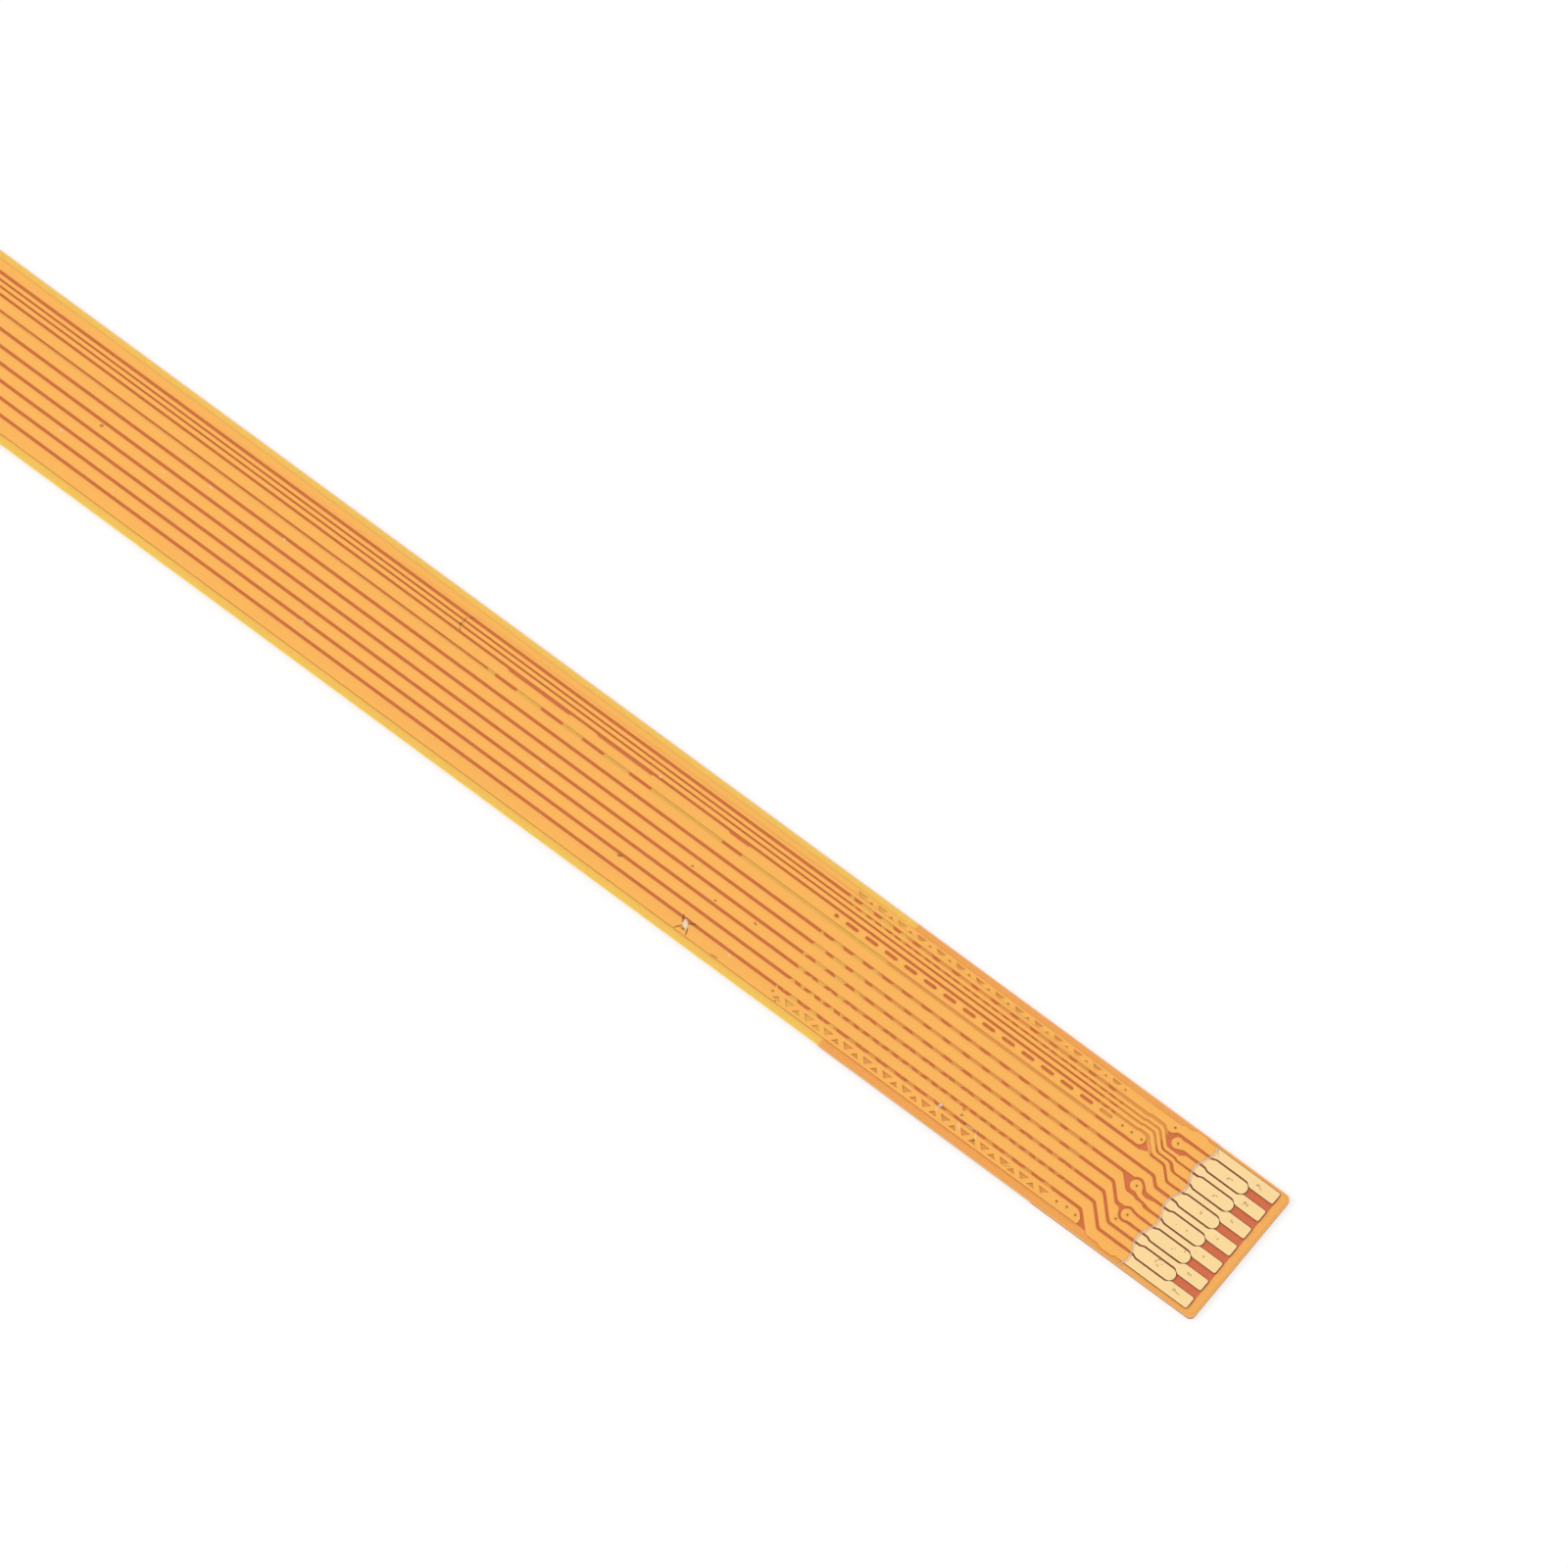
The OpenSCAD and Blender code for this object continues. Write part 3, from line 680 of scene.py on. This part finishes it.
class FLEX_OT_bead(Operator):
    """Make the bead of adhesive along the wavy edge of the top coverlay"""

    bl_idname = "flex.bead"
    bl_label = "Adhesive bead"

    def execute(self, context):
        shape = bmesh.new()
        face, gold = CAD_BOX[1].z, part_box("gold_contact_1")[1].z
        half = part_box("base_film")[1].y
        profile = [(0.02, face + 0.0005 * MM), (0.0, face + 0.002 * MM), (-0.02, face - 0.008 * MM),
                   (-0.055, gold + 0.001 * MM), (0.0, gold - 0.001 * MM)]
        corners = [shape.verts.new((TIP - (wave(-half) + s) * MM, -half, z)) for s, z in profile]
        first = edges = [shape.edges.new(pair) for pair in zip(corners, corners[1:] + corners[:1])]
        for step in range(PROFILE_STEPS):
            y0, y1 = ((i / PROFILE_STEPS * 2 - 1) * half for i in (step, step + 1))
            made = bmesh.ops.extrude_edge_only(shape, edges=edges)["geom"]
            edges = [e for e in made if isinstance(e, bmesh.types.BMEdge)]
            ring = [v for v in made if isinstance(v, bmesh.types.BMVert)]
            bmesh.ops.translate(shape, verts=ring, vec=((wave(y0) - wave(y1)) * MM, y1 - y0, 0))
            edges = [e for e in edges if all(v in ring for v in e.verts)]
        bmesh.ops.edgeloop_fill(shape, edges=first)
        bmesh.ops.edgeloop_fill(shape, edges=edges)
        # The extrusion adds its faces in an order that changes from run to run.
        by_place = sorted(shape.faces, key=lambda face: face.calc_center_median()[:])
        for index, face in enumerate(by_place):
            face.index = index
        shape.faces.sort()
        colour = context.scene.flex_wear.bead_colour
        glue = film_material("squeezed_adhesive", colour, 0.45)
        new_piece("adhesive_bead", shape, glue)
        return {"FINISHED"}


def wave(y):
    """Distance of the coverlay's edge from the contact end, in mm."""
    return WAVE_D + WAVE_SWING * math.cos(math.tau * (y / MM - WAVE_SHIFT) / WAVE_LENGTH)


# Marks are given as distance from the contact end, level, length, width and turn
PROBE_MARKS = (
    (0.88, 1.83, 0.11, 0.06, 25), (0.80, 1.80, 0.15, 0.025, -12), (0.75, 1.76, 0.08, 0.02, -20),
    (1.60, 1.50, 0.11, 0.05, 40), (1.50, 1.53, 0.10, 0.03, 5),
    (0.85, 1.24, 0.09, 0.08, 30), (0.77, 1.22, 0.08, 0.06, 60), (0.88, 1.16, 0.05, 0.03, 0),
    (1.61, 0.90, 0.08, 0.05, 40), (1.54, 0.94, 0.08, 0.04, -10),
    (0.83, 0.65, 0.05, 0.06, 20), (0.78, 0.62, 0.05, 0.05, 0),
    (1.57, 0.32, 0.05, 0.09, 10), (1.60, 0.36, 0.04, 0.04, 0),
    (0.80, 0.03, 0.05, 0.05, 0), (0.90, 0.06, 0.03, 0.03, 0),
    (1.56, -0.28, 0.04, 0.07, 25), (1.87, -0.30, 0.03, 0.03, 0),
    (0.79, -0.57, 0.05, 0.07, 10), (1.02, -0.60, 0.02, 0.05, 10),
    (1.56, -0.90, 0.05, 0.05, 0), (1.50, -0.85, 0.03, 0.04, 0), (1.25, -0.75, 0.04, 0.08, 30),
    (0.82, -1.17, 0.07, 0.06, 30), (0.75, -1.18, 0.07, 0.05, 0),
    (1.62, -1.32, 0.14, 0.05, 35), (1.68, -1.42, 0.05, 0.09, 0), (1.58, -1.49, 0.13, 0.035, -15),
    (1.50, -1.40, 0.05, 0.04, 20),
    (0.82, -1.75, 0.12, 0.06, 10), (0.70, -1.78, 0.14, 0.03, -5),
)
# Dirt and scratches, and the painted shade in the creases of a puncture.
DIRT_AND_CREASE_SHADE_MARKS = (
    (19.35, -1.18, 0.12, 0.08, 20), (15.45, -0.5, 0.1, 0.06, 0), (17.7, -0.25, 0.09, 0.06, 40),
    (16.65, -0.63, 0.08, 0.05, 0), (15.75, -1.85, 0.22, 0.03, 5), (37.15, -0.11, 0.12, 0.08, 30),
    (8.1, -1.2, 0.1, 0.06, 0), (8.05, -1.35, 0.1, 0.06, 30), (7.85, -1.48, 0.09, 0.05, -30),
    (7.4, -1.7, 0.1, 0.05, 20), (6.28, -1.74, 0.2, 0.02, 28), (13.75, -1.85, 0.07, 0.05, 0),
    (26.37, 1.62, 0.16, 0.025, 35), (26.48, 1.45, 0.03, 0.2, 0), (26.5, 1.3, 0.08, 0.1, 0),
    # From the one at 17.0 on, these marks are the painted shade in the puncture's creases.
    (26.43, 1.2, 0.12, 0.025, -45), (17.0, -1.52, 0.06, 0.26, 30), (16.72, -1.5, 0.22, 0.05, 40),
    (16.98, -1.78, 0.22, 0.06, 55), (16.7, -1.76, 0.05, 0.22, 20), (16.84, -1.75, 0.14, 0.07, 0),
)
# Dust and pale scratches, and the painted highlight on the puncture's bump.
DUST_AND_HIGHLIGHT_MARKS = (
    (8.65, -1.48, 0.1, 0.14, 0), (8.66, -1.62, 0.03, 0.16, 8), (15.45, -1.6, 0.07, 0.07, 0),
    (19.85, 1.17, 0.07, 0.06, 0), (22.4, -0.47, 0.07, 0.06, 0), (33.9, 0.29, 0.08, 0.06, 0),
    (31.5, 0.33, 0.07, 0.06, 0), (29.75, -1.15, 0.07, 0.05, 0), (29.45, -1.22, 0.06, 0.05, 0),
    (35.1, -0.13, 0.07, 0.06, 0), (37.9, -0.86, 0.07, 0.07, 0), (35.8, -1.32, 0.06, 0.06, 0),
    (7.91, -1.64, 0.28, 0.025, -50), (7.67, -1.49, 0.34, 0.025, 13), (7.42, -1.57, 0.3, 0.025, -55),
    # These two are the painted highlight on the puncture's bump.
    (16.87, -1.6, 0.16, 0.22, 20), (16.8, -1.66, 0.12, 0.1, 60),
)


class FLEX_OT_wear(Operator):
    """Add the probe marks on the contacts and the specks and scratches on the film, with the
    painted shade and highlight of a puncture in it
    """

    bl_idname = "flex.wear"
    bl_label = "Marks of use"

    def execute(self, context):
        wear = context.scene.flex_wear
        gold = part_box("gold_contact_1")[1].z
        kinds = (
            ("probe_marks", PROBE_MARKS, wear.scuff_colour, gold, "gold", 0.0015),
            # The dirt marks also hold the puncture's painted crease shade, and the dust marks its
            # painted highlight.
            ("dirt_marks", DIRT_AND_CREASE_SHADE_MARKS, wear.dirt_and_crease_shade_colour, CAD_BOX[1].z, "coverlay", 0.003),
            ("dust_marks", DUST_AND_HIGHLIGHT_MARKS, wear.dust_and_highlight_colour, CAD_BOX[1].z, "coverlay", 0.003),
        )
        for name, marks, colour, z, slot, height in kinds:
            shape, rng = bmesh.new(), random.Random(name)
            for mark in marks:
                fleck(shape, rng, *mark, height, z)
            material = film_material(f"{name}_tone", colour, 0.62)
            new_piece(name, shape, material)
        return {"FINISHED"}


class FLEX_OT_stage(Operator):
    """Set up the floor, the light and the camera"""

    bl_idname = "flex.stage"
    bl_label = "Stage"

    def execute(self, context):
        stage = context.scene.flex_stage
        make_floor()
        make_light(context.scene, stage)
        make_camera(context.scene, stage)
        return {"FINISHED"}


def seen_directly(tree):
    """1 for rays from the camera, a mirror or through glass."""
    path = add(tree, "ShaderNodeLightPath").outputs
    seen = math_node(tree, "MAXIMUM", path["Is Camera Ray"], path["Is Glossy Ray"])
    return math_node(tree, "MAXIMUM", seen, path["Is Transmission Ray"])


def make_floor():
    shape = bmesh.new()
    bmesh.ops.create_grid(shape, x_segments=1, y_segments=1, size=1.5)
    bmesh.ops.translate(shape, verts=shape.verts, vec=(0, 0, CAD_BOX[0].z - 0.002 * MM))
    mesh = bpy.data.meshes.new("floor")
    shape.to_mesh(mesh)
    shape.free()
    floor = bpy.data.objects.new("floor", mesh)
    bpy.context.scene.collection.objects.link(floor)
    material, tree = new_material("white_floor")
    matt = add(tree, "ShaderNodeBsdfDiffuse", {"Color": rgba((0.88, 0.88, 0.88))})
    glow = add(tree, "ShaderNodeEmission", {"Color": rgba((1, 1, 1)), "Strength": 1.2})
    lit = add(tree, "ShaderNodeMixShader", {0: 0.5, 1: matt.outputs[0], 2: glow.outputs[0]})
    both = add(tree, "ShaderNodeMixShader", {
        0: seen_directly(tree), 1: matt.outputs[0], 2: lit.outputs[0],
    })
    finish_material(tree, both.outputs[0])
    mesh.materials.append(material)


def make_light(scene, stage):
    world = bpy.data.worlds.new("plain_sky")
    world.use_nodes = True
    tree = world.node_tree
    tree.nodes.clear()
    strength = add(tree, "ShaderNodeMix", {0: seen_directly(tree), 2: stage.sky, 3: 1.0}).outputs[0]
    sky = add(tree, "ShaderNodeBackground", {"Color": rgba((1, 1, 1)), "Strength": strength})
    output = add(tree, "ShaderNodeOutputWorld")
    link(tree, sky.outputs[0], output.inputs["Surface"])
    scene.world = world
    data = bpy.data.lights.new("soft_lamp", "AREA")
    data.shape = "DISK"
    data.size = 0.3
    data.energy = stage.lamp
    lamp = bpy.data.objects.new("soft_lamp", data)
    lamp.location = (-0.33, -0.22, 0.36)
    lamp.rotation_euler = (-lamp.location).to_track_quat("-Z", "Y").to_euler()
    scene.collection.objects.link(lamp)
    scene.view_settings.view_transform = "Standard"


def make_camera(scene, stage):
    data = bpy.data.cameras.new("camera")
    data.lens = data.sensor_width * stage.distance / stage.view_width
    data.clip_start, data.clip_end = 0.01, 10.0
    camera = bpy.data.objects.new("camera", data)
    a, e = stage.azimuth, stage.elevation
    back = Vector((math.sin(a) * math.cos(e), -math.cos(a) * math.cos(e), math.sin(e)))
    camera.location = Vector(stage.aim) + back * stage.distance
    camera.rotation_euler = (-back).to_track_quat("-Z", "Y").to_euler()
    scene.collection.objects.link(camera)
    scene.camera = camera


STEPS = ("films", "copper", "contacts", "bead", "wear", "stage")


class FLEX_PT_panel(Panel):
    """Lists the steps of the flat flex cable"""

    bl_idname = "FLEX_PT_panel"
    bl_label = "Flat flex cable"
    bl_space_type = "VIEW_3D"
    bl_region_type = "UI"
    bl_category = "Flex"

    def draw(self, context):
        for step in STEPS:
            self.layout.operator(f"flex.{step}")


SETTINGS = {
    "flex_films": FilmSettings, "flex_copper": CopperSettings,
    "flex_contacts": ContactSettings, "flex_wear": WearSettings, "flex_stage": StageSettings,
}
CLASSES = (
    *SETTINGS.values(), FLEX_OT_films, FLEX_OT_copper, FLEX_OT_contacts, FLEX_OT_bead,
    FLEX_OT_wear, FLEX_OT_stage,
    FLEX_PT_panel,
)


def register():
    for cls in CLASSES:
        bpy.utils.register_class(cls)
    for name, cls in SETTINGS.items():
        setattr(bpy.types.Scene, name, PointerProperty(type=cls))


def unregister():
    for name in SETTINGS:
        delattr(bpy.types.Scene, name)
    for cls in reversed(CLASSES):
        bpy.utils.unregister_class(cls)


def main():
    register()
    for step in STEPS:
        getattr(bpy.ops.flex, step)()


if __name__ == "__main__":
    main()
